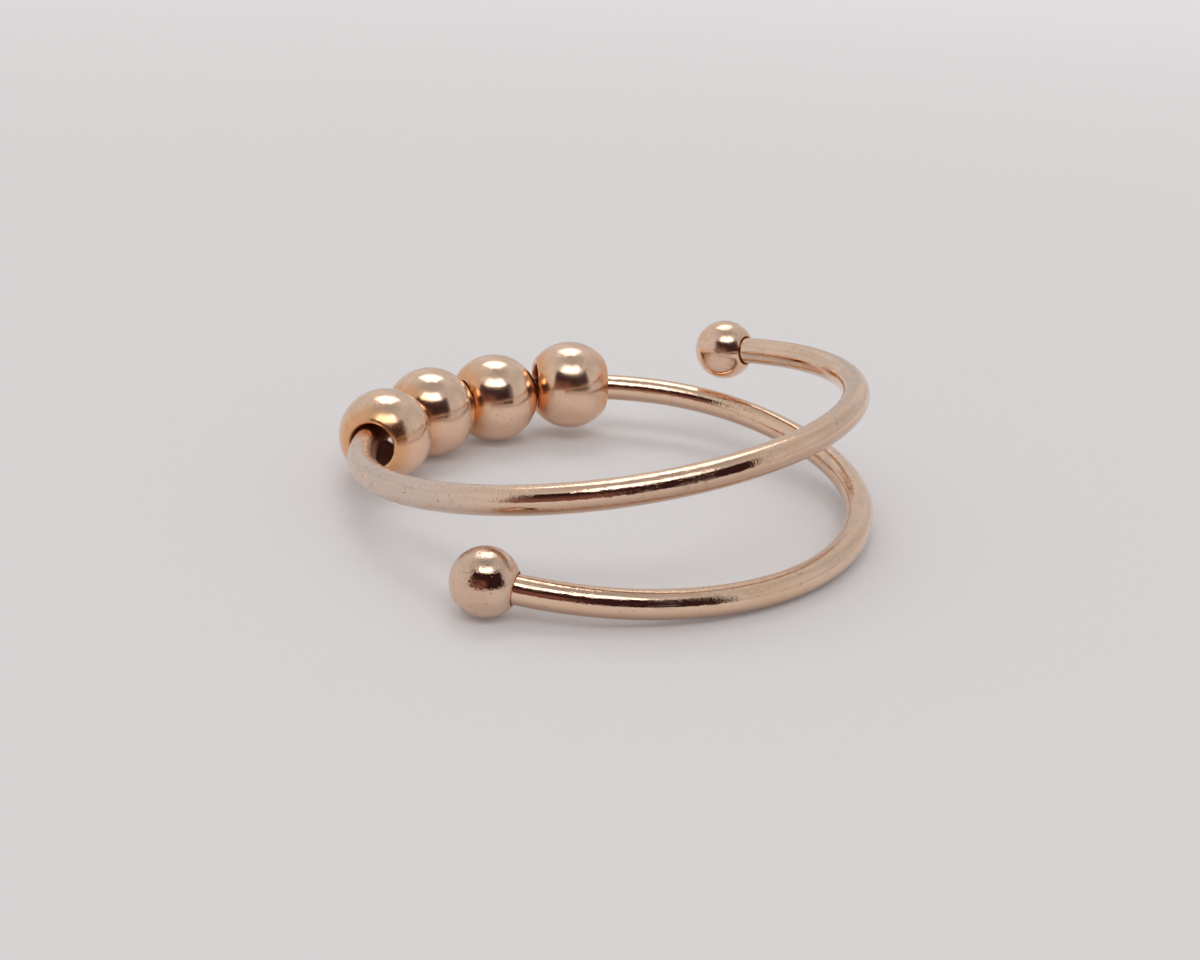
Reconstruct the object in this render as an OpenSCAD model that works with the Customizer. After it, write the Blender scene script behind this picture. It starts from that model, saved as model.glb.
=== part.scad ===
// Open coil ring of round wire, with four loose beads and a ball on each end, lying on its side.
// Millimetres, +Z up. The origin is under the middle of the ring, on the surface it lies on.

/* [Wire] */
// Diameter of the round wire
wire_d = 1.02; // [0.9:0.02:1.06]
// Radius of the level stretch that carries the beads, at the wire's middle
level_radius = 9; // [8.9:0.05:9.1]
// How far the level stretch turns, in degrees
level_turn = 95; // [90:1:100]
// Radii of the two bends that climb from the level stretch to the upper ball
upper_radii = [7.35, 9.1];
// How far each of those bends turns, in degrees
upper_turns = [30, 210];
// How far each of those bends is rolled about the wire, in degrees
upper_rolls = [15.5, -5.5];
// Radii of the three bends that run from the level stretch back to the lower ball
lower_radii = [10.05, 8.25, 10.35];
// How far each of those bends turns, in degrees
lower_turns = [30, 60, 100];
// How far each of those bends is rolled about the wire, in degrees
lower_rolls = [13, -10.5, 0.127];

/* [End balls] */
// Diameter of the ball on each end of the wire
ball_d = 2.34; // [2.3:0.02:2.4]
// Width of the dark groove around the wire where it enters a ball
groove_w = 0.06; // [0.04:0.01:0.1]

/* [Beads] */
// Diameter of a bead
bead_d = 3.5; // [3.4:0.05:3.6]
// Length of a bead between its two flat ends
bead_len = 2.84; // [2.8:0.02:2.9]
// Diameter of a bead's hole
hole_d = 1.7; // [1.66:0.02:1.8]
// Thickness of a bead's wall
bead_wall = 0.3; // [0.25:0.05:0.4]
// Radius of the rounded edge of the hole
rim_r = 0.12; // [0.1:0.01:0.14]
// How far the beads sit inward of the wire's middle, in their loose holes
bead_inward = 0.24; // [0.2:0.01:0.26]
// How far each bead hangs below the wire's middle, bead_1 first; the last one is caught higher up
bead_drops = [0.21, 0.21, 0.21, -0.14];
// Where the first bead at the back sits, in degrees along the level stretch
bead_start = 17.5; // [14:0.5:20]
// Free play between two beads that lie end to end
bead_gap = 0.05; // [0.04:0.01:0.2]

/* [Place] */
// Direction from the middle of the level stretch to its start, in degrees
level_from = 84.4; // [80:0.1:90]
// Middle of the level stretch, seen from above
level_middle = [0.241, 0.12];

/* [Hidden] */
$fn = 96;

wire_r = wire_d / 2;
ball_r = ball_d / 2;
bead_r = bead_d / 2;
hole_r = hole_d / 2;
bead_count = 4;
rose_gold = [0.80, 0.58, 0.47];

// Gap between the wire and its ball's socket, and how deep the groove at the socket's mouth goes
seat_gap = 0.02;
groove_depth = 0.12;

// How far a socket runs past the wire's end and past the ball's surface, in degrees
socket_trim = 0.15;
socket_over = 2;

// How far each bend stops short of a joint, in degrees, and how far the joint's sphere stands proud
joint_trim = 0.1;
joint_swell = 0.004;

// Height of the level stretch, and radius of the circle that the beads' middles lie on
level_z = bead_r + max(bead_drops);
bead_path_r = level_radius - bead_inward;

// Two beads touch at the inner edge of their flat ends, so this is the angle from one to the next
flat_edge_r = sqrt(pow(bead_r, 2) - pow(bead_len / 2, 2));
bead_step = 2 * atan((bead_len + bead_gap) / (2 * (bead_path_r - flat_edge_r)));

// A station on the wire is [point, direction along the wire, direction to the middle of the bend]
level_start = [
    [
        level_middle.x + level_radius * cos(level_from),
        level_middle.y + level_radius * sin(level_from),
        level_z
    ],
    [-sin(level_from), cos(level_from), 0],
    [-cos(level_from), -sin(level_from), 0]
];

// The station further along a bend, the same station with its bend rolled about the wire, and looking back
function past(station, radius, turn) = [
    station[0] + radius * (1 - cos(turn)) * station[2] + radius * sin(turn) * station[1],
    cos(turn) * station[1] + sin(turn) * station[2],
    cos(turn) * station[2] - sin(turn) * station[1]
];
function rolled(station, roll) = [
    station[0],
    station[1],
    cos(roll) * station[2] + sin(roll) * cross(station[1], station[2])
];
function reversed(station) = [station[0], -station[1], station[2]];

// Stations where each bend starts, along a run of bends that sets out from a station
function bend_starts(station, radii, turns, rolls, i = 0) =
    i == len(radii) ? [] :
    let (start = rolled(station, rolls[i]))
    concat([start], bend_starts(past(start, radii[i], turns[i]), radii, turns, rolls, i + 1));

upper_from = bend_starts(past(level_start, level_radius, level_turn), upper_radii, upper_turns, upper_rolls);
lower_from = bend_starts(reversed(level_start), lower_radii, lower_turns, lower_rolls);
upper_last = len(upper_radii) - 1;
lower_last = len(lower_radii) - 1;
upper_end = past(upper_from[upper_last], upper_radii[upper_last], upper_turns[upper_last]);
lower_end = past(lower_from[lower_last], lower_radii[lower_last], lower_turns[lower_last]);
joints = concat([level_start], upper_from, [for (i = [1 : lower_last]) lower_from[i]]);

// Puts its child at a station, with local Y along the wire and local X away from the bend's middle
module at_station(station) {
    out = -station[2];
    along = station[1];
    side = cross(out, along);
    multmatrix([
        [out.x, along.x, side.x, station[0].x],
        [out.y, along.y, side.y, station[0].y],
        [out.z, along.z, side.z, station[0].z]
    ]) children();
}

// A sphere whose poles lie on the wire's line at a station
module sphere_at(station, radius) {
    at_station(station)
        rotate([90, 45, 0])
            sphere(r = radius);
}

// One bend of a round bar, starting at a station
module bend(station, radius, turn, bar_r) {
    at_station(station)
        translate([-radius, 0, 0])
            rotate_extrude(angle = turn)
                translate([radius, 0])
                    circle(r = bar_r);
}

// A bend of the wire that stops just short of each joint, where a sphere bridges it to the next bend
module joined_bend(station, radius, turn, ends_free = false) {
    far_trim = ends_free ? 0 : joint_trim;
    bend(past(station, radius, joint_trim), radius, turn - joint_trim - far_trim, wire_r);
}

module coil_wire() {
    color(rose_gold) {
        joined_bend(level_start, level_radius, level_turn);
        for (i = [0 : upper_last])
            joined_bend(upper_from[i], upper_radii[i], upper_turns[i], i == upper_last);
        for (i = [0 : lower_last])
            joined_bend(lower_from[i], lower_radii[i], lower_turns[i], i == lower_last);
        for (joint = joints) sphere_at(joint, wire_r + joint_swell);
    }
}

// A ball with a blind socket around the wire's end; from_end is the end station, looking along the wire
module end_ball(from_end, radius) {
    socket_turn = 2 * asin(ball_r / (2 * radius)) + socket_over;
    mouth = sqrt(pow(ball_r, 2) - pow(wire_r + groove_w, 2));
    groove_turn = 2 * asin((mouth - groove_depth) / (2 * radius));
    color(rose_gold)
        difference() {
            sphere_at(from_end, ball_r);
            bend(past(from_end, radius, -socket_trim), radius, socket_turn, wire_r + seat_gap);
            bend(past(from_end, radius, groove_turn), radius, socket_turn - groove_turn, wire_r + groove_w);
        }
}
module end_ball_lower() end_ball(reversed(lower_end), lower_radii[lower_last]);
module end_ball_upper() end_ball(reversed(upper_end), upper_radii[upper_last]);

// Outline of one wall of a bead, to be spun around the bead's own hole
module bead_outline() {
    difference() {
        intersection() {
            circle(r = bead_r);
            translate([hole_r + rim_r, -bead_len / 2]) square([bead_r, bead_len]);
        }
        circle(r = bead_r - bead_wall);
    }
    for (end = [-1, 1])
        translate([hole_r + rim_r, end * (bead_len / 2 - rim_r)]) circle(r = rim_r, $fn = 32);
}

// Beads are counted from the front left of the level stretch, so the last one is at its back
module bead(number) {
    color(rose_gold)
        translate([level_middle.x, level_middle.y, level_z - bead_drops[number - 1]])
            rotate([0, 0, level_from + bead_start + (bead_count - number) * bead_step])
                translate([bead_path_r, 0, 0])
                    rotate([90, 0, 0])
                        rotate_extrude() bead_outline();
}
module bead_1() bead(1);
module bead_2() bead(2);
module bead_3() bead(3);
module bead_4() bead(4);

coil_wire();
end_ball_lower();
end_ball_upper();
bead_1();
bead_2();
bead_3();
bead_4();
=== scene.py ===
import math

import bmesh
import bpy
from mathutils import Matrix, Vector


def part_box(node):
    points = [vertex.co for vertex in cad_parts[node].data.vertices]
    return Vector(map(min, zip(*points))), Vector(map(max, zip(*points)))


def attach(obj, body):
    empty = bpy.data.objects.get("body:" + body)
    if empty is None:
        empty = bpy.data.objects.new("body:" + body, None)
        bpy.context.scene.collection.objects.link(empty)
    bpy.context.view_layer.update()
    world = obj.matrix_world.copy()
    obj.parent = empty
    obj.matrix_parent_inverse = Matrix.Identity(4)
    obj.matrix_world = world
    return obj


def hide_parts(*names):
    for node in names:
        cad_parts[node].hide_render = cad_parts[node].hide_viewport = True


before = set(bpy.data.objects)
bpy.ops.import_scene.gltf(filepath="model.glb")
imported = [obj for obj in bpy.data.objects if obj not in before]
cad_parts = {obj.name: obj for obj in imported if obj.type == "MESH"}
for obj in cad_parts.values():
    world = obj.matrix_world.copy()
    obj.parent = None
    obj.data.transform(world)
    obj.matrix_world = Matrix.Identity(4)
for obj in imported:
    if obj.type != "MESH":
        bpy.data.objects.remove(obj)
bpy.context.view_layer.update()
mm = 0.001
print("frame loaded:", sorted(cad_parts))


# Camera at the photo's angle

cameraSet = {
    "place": (-0.080, -63.571, 25.621),
    "lookDown": 20.90,         # degrees below level
    "roll": 3.51,
    "focal": 1862.3,           # in pixels of the picture
    "pictureWidth": 1200,
    "sensorWidth": 36,
    "clip": (1, 4000),
}


def makeCamera(values):
    data = bpy.data.cameras.new("photoCamera")
    data.sensor_width = values["sensorWidth"]
    data.lens = values["sensorWidth"] * values["focal"] / values["pictureWidth"]
    data.clip_start, data.clip_end = (distance * mm for distance in values["clip"])
    camera = bpy.data.objects.new("photoCamera", data)
    bpy.context.collection.objects.link(camera)
    tilt = Matrix.Rotation(math.radians(90 - values["lookDown"]), 4, "X")
    roll = Matrix.Rotation(math.radians(values["roll"]), 4, "Z")
    camera.matrix_world = Matrix.Translation(Vector(values["place"]) * mm) @ tilt @ roll
    bpy.context.scene.camera = camera


makeCamera(cameraSet)


# Node helpers

def feed(tree, socket, value):
    if isinstance(value, bpy.types.NodeSocket):
        tree.links.new(value, socket)
    else:
        socket.default_value = value


def addNode(tree, kind, **sockets):
    node = tree.nodes.new(kind)
    for name, value in sockets.items():
        feed(tree, node.inputs[name], value)
    return node


def calculated(tree, kind, operation, values):
    node = tree.nodes.new(kind)
    node.operation = operation
    for socket, value in zip(node.inputs, values):
        feed(tree, socket, value)
    return node.outputs


def mathNode(tree, operation, *values):
    return calculated(tree, "ShaderNodeMath", operation, values)["Value"]


def product(tree, result, *factors):
    for factor in factors:
        result = mathNode(tree, "MULTIPLY", result, factor)
    return result


def stretchedBy(tree, vector, scale):
    return calculated(tree, "ShaderNodeVectorMath", "MULTIPLY", (vector, scale))["Vector"]


def lengthOf(tree, vector):
    return calculated(tree, "ShaderNodeVectorMath", "LENGTH", (vector,))["Value"]


def partsOf(tree, vector):
    return addNode(tree, "ShaderNodeSeparateXYZ", Vector=vector).outputs


def noiseOf(tree, vector, scale, detail=2.0, roughness=0.5):
    node = addNode(
        tree, "ShaderNodeTexNoise", Vector=vector, Scale=scale, Detail=detail, Roughness=roughness)
    return node.outputs["Fac"]


def rangeOf(tree, value, fromLow, fromHigh, toLow=0.0, toHigh=1.0):
    node = tree.nodes.new("ShaderNodeMapRange")
    node.interpolation_type = "SMOOTHSTEP"
    tree.links.new(value, node.inputs["Value"])
    limits = {"From Min": fromLow, "From Max": fromHigh, "To Min": toLow, "To Max": toHigh}
    for name, number in limits.items():
        node.inputs[name].default_value = number
    return node.outputs["Result"]


def stretchOf(tree, value, riseFrom, riseTo, fallFrom, fallTo):
    # one on a stretch, falling softly to nothing before and after it
    return product(
        tree, rangeOf(tree, value, riseFrom, riseTo), rangeOf(tree, value, fallFrom, fallTo, 1.0, 0.0))


def blendColor(tree, factor, first, second):
    node = tree.nodes.new("ShaderNodeMix")
    node.data_type = "RGBA"
    tree.links.new(factor, node.inputs["Factor"])
    colors = [socket for socket in node.inputs if socket.type == "RGBA"]
    for socket, value in zip(colors, (first, second)):
        feed(tree, socket, value)
    return [socket for socket in node.outputs if socket.type == "RGBA"][0]


def storedPlace(tree, name):
    stored = tree.nodes.new("ShaderNodeAttribute")
    stored.attribute_name = name
    return stored.outputs["Vector"]


def objectPlace(tree):
    # the object's own coordinates, in millimetres
    coords = tree.nodes.new("ShaderNodeTexCoord")
    return stretchedBy(tree, coords.outputs["Object"], (1 / mm, 1 / mm, 1 / mm))


def newGroup(name, inputs, outputs):
    tree = bpy.data.node_groups.new(name, "ShaderNodeTree")
    for label, kind, value in inputs:
        socket = tree.interface.new_socket(name=label, in_out="INPUT", socket_type=kind)
        if value is not None:
            socket.default_value = value
    for label, kind in outputs:
        tree.interface.new_socket(name=label, in_out="OUTPUT", socket_type=kind)
    return tree, tree.nodes.new("NodeGroupInput").outputs, tree.nodes.new("NodeGroupOutput").inputs


def newMaterial(name):
    material = bpy.data.materials.new(name)
    material.use_nodes = True
    return material, material.node_tree


# Shared wear of the plated metal, in millimetres, so it fits a wire's own coordinates and a bead's

# a noise is (scale, detail, roughness), and a fade is (from low, from high, to low, to high)
wearSet = {
    "rippleNoise": (3.2, 3.0, 0.55),
    "patchNoise": (0.5, 1.0),              # where the ragged polish is strong
    "patchFade": (0.40, 0.60, 0.35, 1.0),
    "fineNoise": (7.0, 3.0, 0.65),         # ragged polish, and fine dirt
    "hairStretch": (1.0, 5.0, 5.0),
    "hairNoise": (5.0, 2.0, 0.6),
    "hairWidth": 0.016,
    "hairPatchNoise": (0.9, 1.0),
    "hairPatchFade": (0.48, 0.66),
    "hairDepth": 0.35,
    "hairDull": 0.8,
    "hairMark": 0.3,
    "pitScale": 5.0,
    "pitPatchNoise": (1.1, 2.0),
    "pitSizeFade": (0.45, 0.70, 0.0, 0.17),
    "pitDepth": 0.6,
    "smudgeNoise": (0.75, 3.0, 0.6),
    "smudgeFade": (0.42, 0.72),
    "dirtFade": (0.54, 0.66, 0.0, 0.6),
}


def makePlatingWear(values):
    tree, given, made = newGroup(
        "platingWear",
        [
            ("Place", "NodeSocketVector", None),
            ("Grain", "NodeSocketVector", (1, 1, 1)),
            ("Ripple", "NodeSocketFloat", 0.5),
            ("Ragged", "NodeSocketFloat", 0.5),
            ("Scratches", "NodeSocketFloat", 0.5),
            ("Pits", "NodeSocketFloat", 0.5),
            ("Smudges", "NodeSocketFloat", 0.5),
        ],
        [("Height", "NodeSocketFloat"), ("Dull", "NodeSocketFloat"), ("Marks", "NodeSocketFloat")],
    )
    place = given["Place"]
    along = stretchedBy(tree, place, given["Grain"])
    fine = noiseOf(tree, place, *values["fineNoise"])

    # polishing ripple, with ragged patches on it
    ripple = product(tree, noiseOf(tree, along, *values["rippleNoise"]), given["Ripple"])
    patches = rangeOf(tree, noiseOf(tree, place, *values["patchNoise"]), *values["patchFade"])
    ripple = mathNode(tree, "MULTIPLY_ADD", product(tree, fine, given["Ragged"]), patches, ripple)

    # hairlines: thin slices of a strongly stretched noise, broken up by a coarse one
    slices = noiseOf(tree, stretchedBy(tree, along, values["hairStretch"]), *values["hairNoise"])
    offLine = mathNode(tree, "ABSOLUTE", mathNode(tree, "SUBTRACT", slices, 0.5))
    hair = rangeOf(tree, offLine, 0.0, values["hairWidth"], 1.0, 0.0)
    where = rangeOf(tree, noiseOf(tree, place, *values["hairPatchNoise"]), *values["hairPatchFade"])
    scratches = product(tree, hair, where, given["Scratches"])

    # pits, larger and smaller from place to place
    cells = addNode(
        tree, "ShaderNodeTexVoronoi", Vector=place, Scale=values["pitScale"], Randomness=1.0)
    pitSize = rangeOf(tree, noiseOf(tree, place, *values["pitPatchNoise"]), *values["pitSizeFade"])
    pitSize = product(tree, pitSize, given["Pits"])
    pits = mathNode(tree, "LESS_THAN", cells.outputs["Distance"], pitSize)

    # smudges, with fine dirt inside them
    cloud = rangeOf(tree, noiseOf(tree, place, *values["smudgeNoise"]), *values["smudgeFade"])
    smudges = product(tree, cloud, given["Smudges"])
    dirt = product(tree, rangeOf(tree, fine, *values["dirtFade"]), smudges)

    height = mathNode(tree, "SUBTRACT", ripple, product(tree, scratches, values["hairDepth"]))
    height = mathNode(tree, "SUBTRACT", height, product(tree, pits, values["pitDepth"]))
    dull = mathNode(tree, "ADD", smudges, product(tree, scratches, values["hairDull"]))
    marks = mathNode(tree, "MAXIMUM", pits, product(tree, scratches, values["hairMark"]))
    tree.links.new(height, made["Height"])
    tree.links.new(mathNode(tree, "ADD", dull, pits), made["Dull"])
    tree.links.new(mathNode(tree, "MAXIMUM", marks, dirt), made["Marks"])
    return tree


platingWear = makePlatingWear(wearSet)


# Rose gold plate: each finish has its own two tones, and these come on top of them

roseGold = {
    "rubbed": (0.740, 0.600, 0.515, 1),    # pale, where the plate is rubbed thin
    "paintedUnderShade": (0.590, 0.395, 0.290, 1),    # painted shade on the wire's underside, where it faces the shaded floor close beneath
    "mark": (0.300, 0.170, 0.110, 1),      # inside pits and scratches
    "crease": (0.860, 0.470, 0.250, 1),    # more orange towards both ends along the hole, beside a bead's neighbours
    "holeShade": (0.450, 0.165, 0.105, 1),    # painted shade down a hole or a groove
}
plateSet = {
    "toneNoise": (0.55, 2.0),              # where a finish has the one tone or the other
    "toneFade": (0.35, 0.7),
    "speckFade": (0.60, 0.68),             # dark specks where the plate is rubbed
    "speckStrength": 0.65,
    "holeShadeDull": 0.4,                     # how much rougher and less metallic the painted shade down a hole makes the surface
    "holeShadeMetal": -0.8,
    "dullest": 0.6,
}


def platedMetal(name, values, placeOf):
    material, tree = newMaterial(name)
    shader = tree.nodes["Principled BSDF"].inputs
    shader["Metallic"].default_value = 1.0
    place = placeOf(tree)

    wear = tree.nodes.new("ShaderNodeGroup")
    wear.node_tree = platingWear
    tree.links.new(place, wear.inputs["Place"])
    for key in ("Grain", "Ripple", "Ragged", "Scratches", "Pits", "Smudges"):
        wear.inputs[key].default_value = values[key.lower()]

    tone = rangeOf(tree, noiseOf(tree, place, *plateSet["toneNoise"]), *plateSet["toneFade"])
    color = blendColor(tree, tone, values["plate"], values["warm"])
    dull = mathNode(tree, "MULTIPLY_ADD", wear.outputs["Dull"], values["dullBy"], values["roughness"])
    # painted shade: darker underneath, where a finish has it
    if "paintedUnderShadeAt" in values:
        color = blendColor(tree, values["paintedUnderShadeAt"](tree), color, roseGold["paintedUnderShade"])
    if "rubbedAt" in values:
        rubbed = values["rubbedAt"](tree)
        color = blendColor(tree, rubbed, color, roseGold["rubbed"])
        specks = rangeOf(tree, noiseOf(tree, place, *wearSet["fineNoise"]), *plateSet["speckFade"])
        specks = product(tree, specks, rubbed, plateSet["speckStrength"])
        color = blendColor(tree, specks, color, roseGold["mark"])
        dull = mathNode(tree, "MULTIPLY_ADD", rubbed, values["rubbedDull"], dull)
    color = blendColor(tree, wear.outputs["Marks"], color, roseGold["mark"])
    # painted shade down holes and grooves: dark red-brown, rougher and less metallic
    if "holeShadeAt" in values:
        crease, holeShade = creaseAndHoleShade(tree, values)
        color = blendColor(tree, crease, color, roseGold["crease"])
        color = blendColor(tree, holeShade, color, roseGold["holeShade"])
        dull = mathNode(tree, "MULTIPLY_ADD", holeShade, plateSet["holeShadeDull"], dull)
        metal = mathNode(tree, "MULTIPLY_ADD", holeShade, plateSet["holeShadeMetal"], 1.0)
        tree.links.new(metal, shader["Metallic"])
    tree.links.new(color, shader["Base Color"])
    tree.links.new(mathNode(tree, "MINIMUM", dull, plateSet["dullest"]), shader["Roughness"])

    bump = addNode(
        tree, "ShaderNodeBump", Strength=1.0, Distance=values["relief"] * mm,
        Height=wear.outputs["Height"])
    tree.links.new(bump.outputs["Normal"], shader["Normal"])
    return material


def creaseAndHoleShade(tree, values):
    # how near a point is to the piece's flat end, and how far down its hole or groove, where shade is
    # painted
    own = storedPlace(tree, "ownPlace")
    holeShade = rangeOf(tree, lengthOf(tree, own), *values["holeShadeAt"], 1.0, 0.0)
    endward = mathNode(tree, "ABSOLUTE", partsOf(tree, own)["X"])
    return rangeOf(tree, endward, *values["creaseAt"]), holeShade


# Mesh helpers, all in millimetres until a mesh becomes an object

mergeWithin = 0.0005


def objectFrom(bm, name):
    bmesh.ops.scale(bm, vec=(mm, mm, mm), verts=bm.verts)
    mesh = bpy.data.meshes.new(name)
    bm.to_mesh(mesh)
    bm.free()
    thing = bpy.data.objects.new(name, mesh)
    bpy.context.collection.objects.link(thing)
    return thing


def finishPiece(bm, name, body, node, material):
    bmesh.ops.remove_doubles(bm, verts=bm.verts, dist=mergeWithin)
    bmesh.ops.recalc_face_normals(bm, faces=bm.faces)
    for face in bm.faces:
        face.smooth = True
    piece = objectFrom(bm, name)
    piece.data.materials.append(material)
    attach(piece, body)
    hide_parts(node)
    print("made", name, "with", len(piece.data.polygons), "faces")


def lineTo(bm, vert, point):
    new = bmesh.ops.extrude_vert_indiv(bm, verts=[vert])["verts"][0]
    new.co = point
    return new


def arcTo(bm, vert, centre, degrees, steps):
    made = bmesh.ops.spin(
        bm, geom=[vert], cent=centre, axis=(0, 0, 1), angle=math.radians(degrees), steps=steps)
    return [part for part in made["geom_last"] if isinstance(part, bmesh.types.BMVert)][0]


def softenCorners(bm, corners, width):
    bmesh.ops.bevel(
        bm, geom=corners, offset=width, offset_type="OFFSET", segments=3, profile=0.5,
        affect="VERTICES", material=-1)


def spunAboutX(bm, steps):
    # turns the outline, drawn in the XY plane, once round the X axis and stores each point's own place
    bmesh.ops.spin(
        bm, geom=bm.verts[:] + bm.edges[:], cent=(0, 0, 0), axis=(1, 0, 0),
        angle=math.tau, steps=steps, use_merge=True)
    layer = bm.verts.layers.float_vector.new("ownPlace")
    for vert in bm.verts:
        vert[layer] = vert.co


# The wire: stations along it are (point, direction along, direction to the middle of the bend)

wireSet = {
    "radius": 0.51,
    "levelMiddle": (0.241, 0.12, 1.96),
    "levelFrom": 84.4,
    "levelBend": (9, 95),                      # radius and turn
    # radius, turn and the roll at its start
    "upperBends": ((7.35, 30, 15.5), (9.1, 210, -5.5)),
    "lowerBends": ((10.05, 30, 13), (8.25, 60, -10.5), (10.35, 100, 0.127)),
    "sides": 64,
    "step": 1.25,                              # degrees of bend for each ring of the mesh
}


def past(station, radius, turn):
    point, along, middle = station
    s, c = math.sin(math.radians(turn)), math.cos(math.radians(turn))
    point = point + radius * (1 - c) * middle + radius * s * along
    return point, c * along + s * middle, c * middle - s * along


def rolled(station, roll):
    point, along, middle = station
    return point, along, Matrix.Rotation(math.radians(roll), 3, along) @ middle


def lookingBack(station):
    point, along, middle = station
    return point, -along, middle


def wireChain(values):
    # every bend from the lower end to the upper end, as (station, radius, turn, roll at its start)
    angle = math.radians(values["levelFrom"])
    out = Vector((math.cos(angle), math.sin(angle), 0))
    start = Vector(values["levelMiddle"]) + values["levelBend"][0] * out
    along = Vector((-math.sin(angle), math.cos(angle), 0))
    station = (start, -along, -out)
    for radius, turn, roll in values["lowerBends"]:
        station = past(rolled(station, roll), radius, turn)
    station = lookingBack(station)
    lower = values["lowerBends"][::-1]
    bends = [bend[:2] for bend in (*lower, values["levelBend"], *values["upperBends"])]
    rolls = [0] + [bend[2] for bend in (*lower, *values["upperBends"])]
    chain = []
    for (radius, turn), roll in zip(bends, rolls):
        station = rolled(station, roll)
        chain.append((station, radius, turn, roll))
        station = past(station, radius, turn)
    return chain


def storePlace(verts, layer, station, radius, before, totalRoll):
    # stores (length along the wire, two places across it), free of jumps where the bends are rolled
    point, along, middle = station
    centre = point + radius * middle
    side = middle.cross(along)
    c, s = math.cos(totalRoll), math.sin(totalRoll)
    for vert in verts:
        spoke = vert.co - centre
        outward, forward = -spoke.dot(middle), spoke.dot(along)
        x, y = math.hypot(outward, forward) - radius, spoke.dot(side)
        turned = math.atan2(forward, outward)
        if turned < -1:                        # past the half turn
            turned += math.tau
        length = before + radius * turned
        vert[layer] = (length, x * c - y * s, x * s + y * c)


def makeWire(values, chain, material):
    bm = bmesh.new()
    layer = bm.verts.layers.float_vector.new("wirePlace")
    point, along, middle = chain[0][0]
    axes = Matrix((-middle, along.cross(-middle), along)).transposed().to_4x4()
    bmesh.ops.create_circle(
        bm, cap_ends=False, radius=values["radius"], segments=values["sides"],
        matrix=Matrix.Translation(point) @ axes)
    ring, done, length, totalRoll = bm.verts[:] + bm.edges[:], 0, 0.0, 0.0
    for station, radius, turn, roll in chain:
        totalRoll += math.radians(roll)
        point, along, middle = station
        made = bmesh.ops.spin(
            bm, geom=ring, cent=point + radius * middle, axis=along.cross(middle),
            angle=math.radians(turn), steps=round(turn / values["step"]))
        ring = made["geom_last"]
        bm.verts.ensure_lookup_table()
        storePlace(bm.verts[done:], layer, station, radius, length, totalRoll)
        done, length = len(bm.verts), length + radius * math.radians(turn)
    bmesh.ops.holes_fill(bm, edges=[edge for edge in bm.edges if edge.is_boundary])
    finishPiece(bm, "bentWire", "coil", "coil_wire", material)


# lengths along the wire are from its lower end
wireWear = {
    "frontStretch": (45.5, 47.5, 53.5, 58.5),  # rubbed thin where the wire leaves the front bead
    "mottleNoise": (2.6, 4.0, 0.7),
    "mottleFade": (0.30, 0.62, 0.45, 1.0),
    "lowerStretch": (8.0, 14.0, 22.0, 27.0),   # scuffed lengthwise on the right
    "upperFrom": (66.0, 70.0),
    "streakStretch": (0.45, 2.0, 2.0),
    "streakNoise": (2.2, 4.0, 0.65),
    "streakFade": (0.42, 0.68),
    "streakStrength": 0.65,
    "paintedUnderShadeFade": (0.0, 0.32, 0.0, 0.95),  # painted shade, growing from the wire's middle down
}


def wirePlace(tree):
    return storedPlace(tree, "wirePlace")


def wireRubbed(tree):
    place = wirePlace(tree)
    length = partsOf(tree, place)["X"]
    mottle = rangeOf(tree, noiseOf(tree, place, *wireWear["mottleNoise"]), *wireWear["mottleFade"])
    front = product(tree, stretchOf(tree, length, *wireWear["frontStretch"]), mottle)
    lengthwise = stretchedBy(tree, place, wireWear["streakStretch"])
    streaks = rangeOf(tree, noiseOf(tree, lengthwise, *wireWear["streakNoise"]), *wireWear["streakFade"])
    lower = stretchOf(tree, length, *wireWear["lowerStretch"])
    upper = rangeOf(tree, length, *wireWear["upperFrom"])
    scuffed = product(
        tree, mathNode(tree, "MAXIMUM", lower, upper), streaks, wireWear["streakStrength"])
    return mathNode(tree, "MAXIMUM", front, scuffed)


# painted shade: darker towards the wire's underside
def wirePaintedUnderShade(tree):
    return rangeOf(tree, partsOf(tree, wirePlace(tree))["Z"], *wireWear["paintedUnderShadeFade"])


wireFinish = {
    "grain": (0.35, 1.0, 1.0),
    "plate": (0.880, 0.640, 0.475, 1),
    "warm": (0.870, 0.605, 0.430, 1),
    "ripple": 0.6, "ragged": 3.6, "scratches": 0.8, "pits": 0.5, "smudges": 0.5,
    "roughness": 0.045, "dullBy": 0.10, "rubbedDull": 0.22,
    "relief": 0.0032,
    "rubbedAt": wireRubbed,
    "paintedUnderShadeAt": wirePaintedUnderShade,
}
wireRun = wireChain(wireSet)
wireMetal = platedMetal("wireMetal", wireFinish, wirePlace)
makeWire(wireSet, wireRun, wireMetal)


# The balls on the wire's two ends

ballSet = {
    "radius": 1.17,
    "socket": 0.545,           # radius of the hole around the wire
    "socketEnd": -0.05,        # where it ends, from the ball's middle
    "groove": 0.57,            # radius of the groove at its mouth
    "grooveDeep": 0.12,
    "lip": 0.025,              # rounding of the mouth's edge
    "arcSteps": 56,
    "steps": 96,
}
ballFinish = {
    "grain": (1.0, 1.0, 1.0),
    "plate": (0.850, 0.630, 0.500, 1),
    "warm": (0.760, 0.520, 0.380, 1),
    "ripple": 0.45, "ragged": 9.0, "scratches": 0.9, "pits": 1.5, "smudges": 1.0,
    "roughness": 0.040, "dullBy": 0.10,
    "relief": 0.0032,
    "holeShadeAt": (1.120, 1.150),    # distances from the ball's middle where the painted shade in the groove is full, and where it has faded out
    "creaseAt": (0.90, 1.15),      # distances along the hole
}
softBallFinish = {             # the upper ball is more evenly worn
    **ballFinish,
    "plate": (0.890, 0.640, 0.480, 1),
    "warm": (0.870, 0.595, 0.425, 1),
    "ragged": 1.2, "pits": 0.5,
    "roughness": 0.140,
    # its painted shade in the groove is fainter
    "holeShadeAt": (1.060, 1.140),
}


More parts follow.
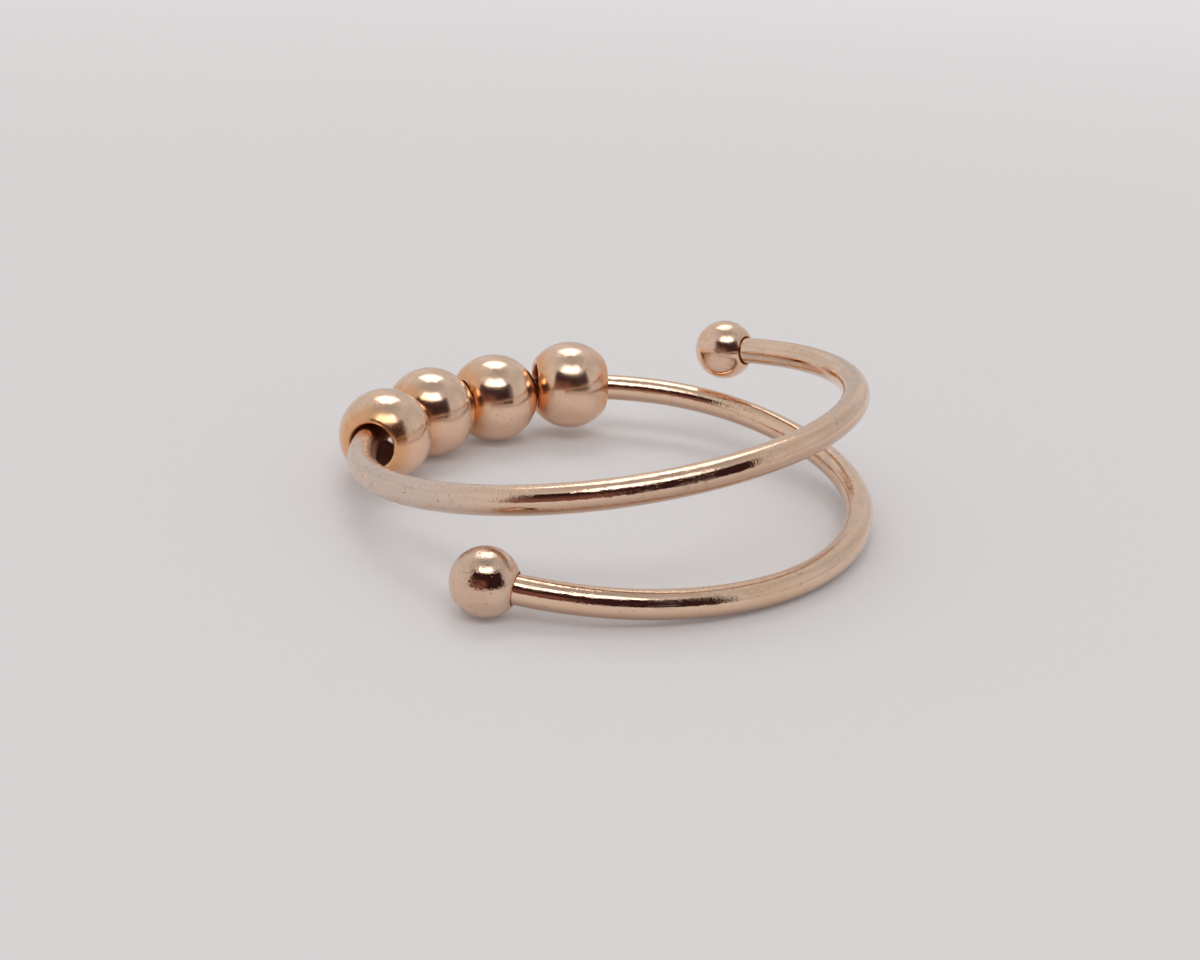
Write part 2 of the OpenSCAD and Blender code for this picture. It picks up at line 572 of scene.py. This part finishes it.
def makeBall(values, name, node, station, radius, material):
    # the station looks from the wire's end back along the wire
    bm = bmesh.new()
    size, socket, groove = values["radius"], values["socket"], values["groove"]
    mouth = math.sqrt(size ** 2 - groove ** 2)
    grooveEnd = mouth - values["grooveDeep"]
    reach = math.degrees(math.acos(mouth / size))
    pole = bm.verts.new((-size, 0, 0))
    edge = arcTo(bm, pole, (0, 0, 0), -(180 - reach), values["arcSteps"])
    vert = lineTo(bm, edge, (grooveEnd, groove, 0))
    vert = lineTo(bm, vert, (grooveEnd, socket, 0))
    vert = lineTo(bm, vert, (values["socketEnd"], socket, 0))
    lineTo(bm, vert, (values["socketEnd"], 0, 0))
    softenCorners(bm, [edge], values["lip"])
    spunAboutX(bm, values["steps"])
    tip = past(station, radius, 2 * math.degrees(math.asin(mouth / (2 * radius))))[0]
    aim = (tip - station[0]).to_track_quat("X", "Z").to_matrix().to_4x4()
    bm.transform(Matrix.Translation(station[0]) @ aim)
    finishPiece(bm, name, "coil", node, material)


ballMetal = platedMetal("ballMetal", ballFinish, objectPlace)
firstStation, firstRadius = wireRun[0][:2]
makeBall(ballSet, "lowerBall", "end_ball_lower", firstStation, firstRadius, ballMetal)
softBallMetal = platedMetal("softBallMetal", softBallFinish, objectPlace)
lastStation, lastRadius, lastTurn = wireRun[-1][:3]
lastStation = lookingBack(past(lastStation, lastRadius, lastTurn))
makeBall(ballSet, "upperBall", "end_ball_upper", lastStation, lastRadius, softBallMetal)


# The loose beads

beadSet = {
    "numbers": (1, 2, 3, 4),
    "radius": 1.75,
    "halfLength": 1.42,
    "hole": 0.85,
    "rim": 0.12,               # rounding of the hole's edge
    "wall": 0.30,
    "soften": 0.03,            # rounding between the ball and its flat end
    "arcSteps": 48,
    "rimSteps": 14,
    "steps": 112,
}
beadFinish = {
    "grain": (1.0, 1.0, 1.0),
    "plate": (0.890, 0.640, 0.480, 1),
    "warm": (0.870, 0.595, 0.425, 1),
    "ripple": 0.35, "ragged": 1.2, "scratches": 0.9, "pits": 0.5, "smudges": 0.6,
    "roughness": 0.155, "dullBy": 0.08,
    "relief": 0.0032,
    "holeShadeAt": (1.560, 1.640),    # distances from the bead's middle where the painted shade in the hole is full, and where it has faded out
    "creaseAt": (0.80, 1.38),      # distances along the hole
}


def makeBead(values, number, material):
    low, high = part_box(f"bead_{number}")
    centre = (low + high) / (2 * mm)
    spoke = centre - Vector(wireSet["levelMiddle"])
    bm = bmesh.new()
    size, end, rim = values["radius"], values["halfLength"], values["rim"]
    rimAt = values["hole"] + rim
    flat = math.sqrt(size ** 2 - end ** 2)
    inner = size - values["wall"]
    innerEnd = math.sqrt(inner ** 2 - rimAt ** 2)
    outerTurn = 180 - 2 * math.degrees(math.asin(flat / size))
    innerTurn = 180 - 2 * math.degrees(math.asin(rimAt / inner))

    first = bm.verts.new((-end, flat, 0))
    second = arcTo(bm, first, (0, 0, 0), -outerTurn, values["arcSteps"])
    vert = lineTo(bm, second, (end, rimAt, 0))
    vert = arcTo(bm, vert, (end - rim, rimAt, 0), -180, values["rimSteps"])
    vert = lineTo(bm, vert, (innerEnd, rimAt, 0))
    vert = arcTo(bm, vert, (0, 0, 0), innerTurn, values["arcSteps"] // 2)
    vert = lineTo(bm, vert, (rim * 2 - end, rimAt, 0))
    vert = arcTo(bm, vert, (rim - end, rimAt, 0), -180, values["rimSteps"])
    bm.edges.new((vert, first))
    softenCorners(bm, [first, second], values["soften"])
    spunAboutX(bm, values["steps"])
    turn = math.atan2(spoke.y, spoke.x) + math.pi / 2
    bm.transform(Matrix.Translation(centre) @ Matrix.Rotation(turn, 4, "Z"))
    finishPiece(bm, f"looseBead{number}", f"bead_{number}", f"bead_{number}", material)


beadMetal = platedMetal("beadMetal", beadFinish, objectPlace)
for beadNumber in beadSet["numbers"]:
    makeBead(beadSet, beadNumber, beadMetal)


# Studio: a plain pale floor, two soft strips overhead and the dark card that the camera stands before

def stageObject(bm, name, material):
    thing = objectFrom(bm, name)
    thing.data.materials.append(material)
    return thing


floorSet = {
    "halfWidth": 1200,
    "near": (0.742, 0.720, 0.724, 1),
    "far": (0.860, 0.840, 0.852, 1),
    "farFade": (0.03, 0.26),       # metres from the ring; painted light: the floor is paler further out, making up for the lamps' light falling off
    "grain": (0.550, 0.520, 0.520, 1),
    "grainNoise": (4200, 3.0, 0.7),
    "grainFade": (0.25, 0.75, 0.0, 0.05),
    "roughness": 0.9,
    "glow": 0.08,                  # light that the room's pale walls would send into the shadows
}


def makeFloor(values):
    material, tree = newMaterial("floorPaper")
    shader = tree.nodes["Principled BSDF"].inputs
    shader["Roughness"].default_value = values["roughness"]
    shader["Specular IOR Level"].default_value = 0.0
    place = tree.nodes.new("ShaderNodeTexCoord").outputs["Object"]
    # painted light: paler away from the ring, making up for the strips' light falling off there
    away = rangeOf(tree, lengthOf(tree, place), *values["farFade"])
    color = blendColor(tree, away, values["near"], values["far"])
    grain = rangeOf(tree, noiseOf(tree, place, *values["grainNoise"]), *values["grainFade"])
    color = blendColor(tree, grain, color, values["grain"])
    tree.links.new(color, shader["Base Color"])
    tree.links.new(color, shader["Emission Color"])
    shader["Emission Strength"].default_value = values["glow"]
    bm = bmesh.new()
    bmesh.ops.create_grid(bm, x_segments=1, y_segments=1, size=values["halfWidth"])
    stageObject(bm, "floor", material)


def glowing(name):
    # a surface that only glows
    material, tree = newMaterial(name)
    tree.nodes.remove(tree.nodes["Principled BSDF"])
    light = tree.nodes.new("ShaderNodeEmission")
    tree.links.new(light.outputs[0], tree.nodes["Material Output"].inputs["Surface"])
    return material, tree, light.inputs


def fadeToEdges(tree, place, width):
    # one in the middle, falling softly to nothing at both edges
    outward = mathNode(tree, "ABSOLUTE", mathNode(tree, "SUBTRACT", place, 0.5))
    return rangeOf(tree, outward, 0.5 - width, 0.5, 1.0, 0.0)


def ahead(reach, degrees, height):
    # a point so far from the ring, so many degrees round from straight ahead of it
    return Matrix.Rotation(math.radians(degrees), 3, "Z") @ Vector((0, -reach, height))


def bandRound(first, last, turnFrom, turnTo, steps):
    # a band spun round the ring from one straight edge; stores how far round and how far across it, 0 to 1
    bm = bmesh.new()
    lineTo(bm, bm.verts.new(first), last)
    bmesh.ops.spin(
        bm, geom=bm.verts[:] + bm.edges[:], cent=(0, 0, 0), axis=(0, 0, 1),
        angle=math.radians(turnTo - turnFrom), steps=steps)
    layer = bm.verts.layers.float_vector.new("bandPlace")
    halfway = (turnFrom + turnTo) / 2
    for vert in bm.verts:
        turned = Matrix.Rotation(math.radians(-halfway), 3, "Z") @ vert.co
        turn = math.degrees(math.atan2(turned.x, -turned.y))
        across = (vert.co.length - first.length) / (last.length - first.length)
        vert[layer] = (turn / (turnTo - turnFrom) + 0.5, across, 0)
    return bm


# reach and height are in millimetres, and turns in degrees round from straight ahead of the ring
frontStripSet = {
    "reach": (170, 455),
    "turn": (-42, 53),
    "brightness": 2.6,
    "acrossFade": (0.0, 0.25),     # how far across it the light fades in
}
backStripSet = {
    "reach": (130, 520),
    "turn": (150, 222),
    "brightness": 2.4,
    "acrossFade": (1.0, 0.55),
}
stripSet = {
    "height": 500,
    "color": (1, 0.99, 0.98, 1),
    "dimmest": 0.5,                # brightness where it has faded
    "endFade": 0.12,               # part of its length that fades at each end
    "steps": 24,
}


def makeStrip(name, values, shared):
    near, far = values["reach"]
    turnFrom, turnTo = values["turn"]
    height = shared["height"]
    bm = bandRound(
        ahead(near, turnFrom, height), ahead(far, turnFrom, height), turnFrom, turnTo, shared["steps"])
    material, tree, light = glowing(name)
    place = partsOf(tree, storedPlace(tree, "bandPlace"))
    fade = product(
        tree, fadeToEdges(tree, place["X"], shared["endFade"]),
        rangeOf(tree, place["Y"], *values["acrossFade"]))
    strength = rangeOf(tree, fade, 0.0, 1.0, shared["dimmest"], values["brightness"])
    tree.links.new(strength, light["Strength"])
    light["Color"].default_value = shared["color"]
    strip = stageObject(bm, name, material)
    strip.visible_camera = False


darkCardSet = {
    "radius": 100,
    "turn": (-54, 69),
    "height": (0.7, 119),          # of its foot and its top
    "footTaper": 0.82,             # how much narrower the foot is
    "black": (0.034, 0.014, 0.015, 1),
    "brown": (0.250, 0.115, 0.095, 1),     # its lower left half
    "leftFade": (0.40, 0.54, 1.0, 0.0),
    "lowFade": (0.20, 0.55, 1.0, 0.0),
    "cloudNoise": (5.0, 2.0),
    "cloudFade": (0.35, 0.65, 0.5, 1.0),
    "steps": 48,
}


def makeDarkCard(values):
    # stands round the ring's front, at the camera's side, a little narrower at its foot
    first, last = values["turn"]
    foot, top = values["height"]
    radius = values["radius"]
    bm = bandRound(ahead(radius, first, foot), ahead(radius, first, top), first, last, values["steps"])
    for vert in bm.verts:
        narrow = (1 - values["footTaper"]) * (vert.co.z / top - 1)
        turn = math.atan2(vert.co.x, -vert.co.y) - math.radians((first + last) / 2)
        vert.co = Matrix.Rotation(turn * narrow, 3, "Z") @ vert.co
    material, tree, light = glowing("darkCard")
    stored = storedPlace(tree, "bandPlace")
    place = partsOf(tree, stored)
    left = rangeOf(tree, place["X"], *values["leftFade"])
    low = rangeOf(tree, place["Y"], *values["lowFade"])
    cloudy = rangeOf(tree, noiseOf(tree, stored, *values["cloudNoise"]), *values["cloudFade"])
    brown = product(tree, left, low, cloudy)
    tree.links.new(blendColor(tree, brown, values["black"], values["brown"]), light["Color"])
    card = stageObject(bm, "darkCard", material)
    card.visible_camera = False
    card.visible_diffuse = False
    card.visible_shadow = False


roomSet = {
    "color": (1.0, 0.99, 0.985, 1),
    "brightness": 0.62,
    "rightward": -0.07,            # a little brighter to the left
    "cloudNoise": (2.2, 1.0),
    "cloudFade": (0.3, 0.7, 0.88, 1.1),
    "overheadFade": (0.80, 1.0, 1.0, 0.62),
    "tableEndFade": (0.0, 0.05, 0.72, 1.0),    # a thin dark line where the table ends
}


def makeRoomLight(values):
    world = bpy.data.worlds.new("room")
    world.use_nodes = True
    tree = world.node_tree
    back = tree.nodes["Background"].inputs
    place = tree.nodes.new("ShaderNodeTexCoord").outputs["Generated"]
    parts = partsOf(tree, place)
    level = mathNode(tree, "MULTIPLY_ADD", parts["X"], values["rightward"], 1.0)
    cloudy = rangeOf(tree, noiseOf(tree, place, *values["cloudNoise"]), *values["cloudFade"])
    overhead = rangeOf(tree, parts["Z"], *values["overheadFade"])
    line = rangeOf(tree, mathNode(tree, "ABSOLUTE", parts["Z"]), *values["tableEndFade"])
    level = product(tree, level, cloudy, overhead, line, values["brightness"])
    tree.links.new(level, back["Strength"])
    back["Color"].default_value = values["color"]
    bpy.context.scene.world = world


makeFloor(floorSet)
makeStrip("frontStrip", frontStripSet, stripSet)
makeStrip("backStrip", backStripSet, stripSet)
makeDarkCard(darkCardSet)
makeRoomLight(roomSet)
bpy.context.scene.view_settings.view_transform = "Standard"
print("studio ready")
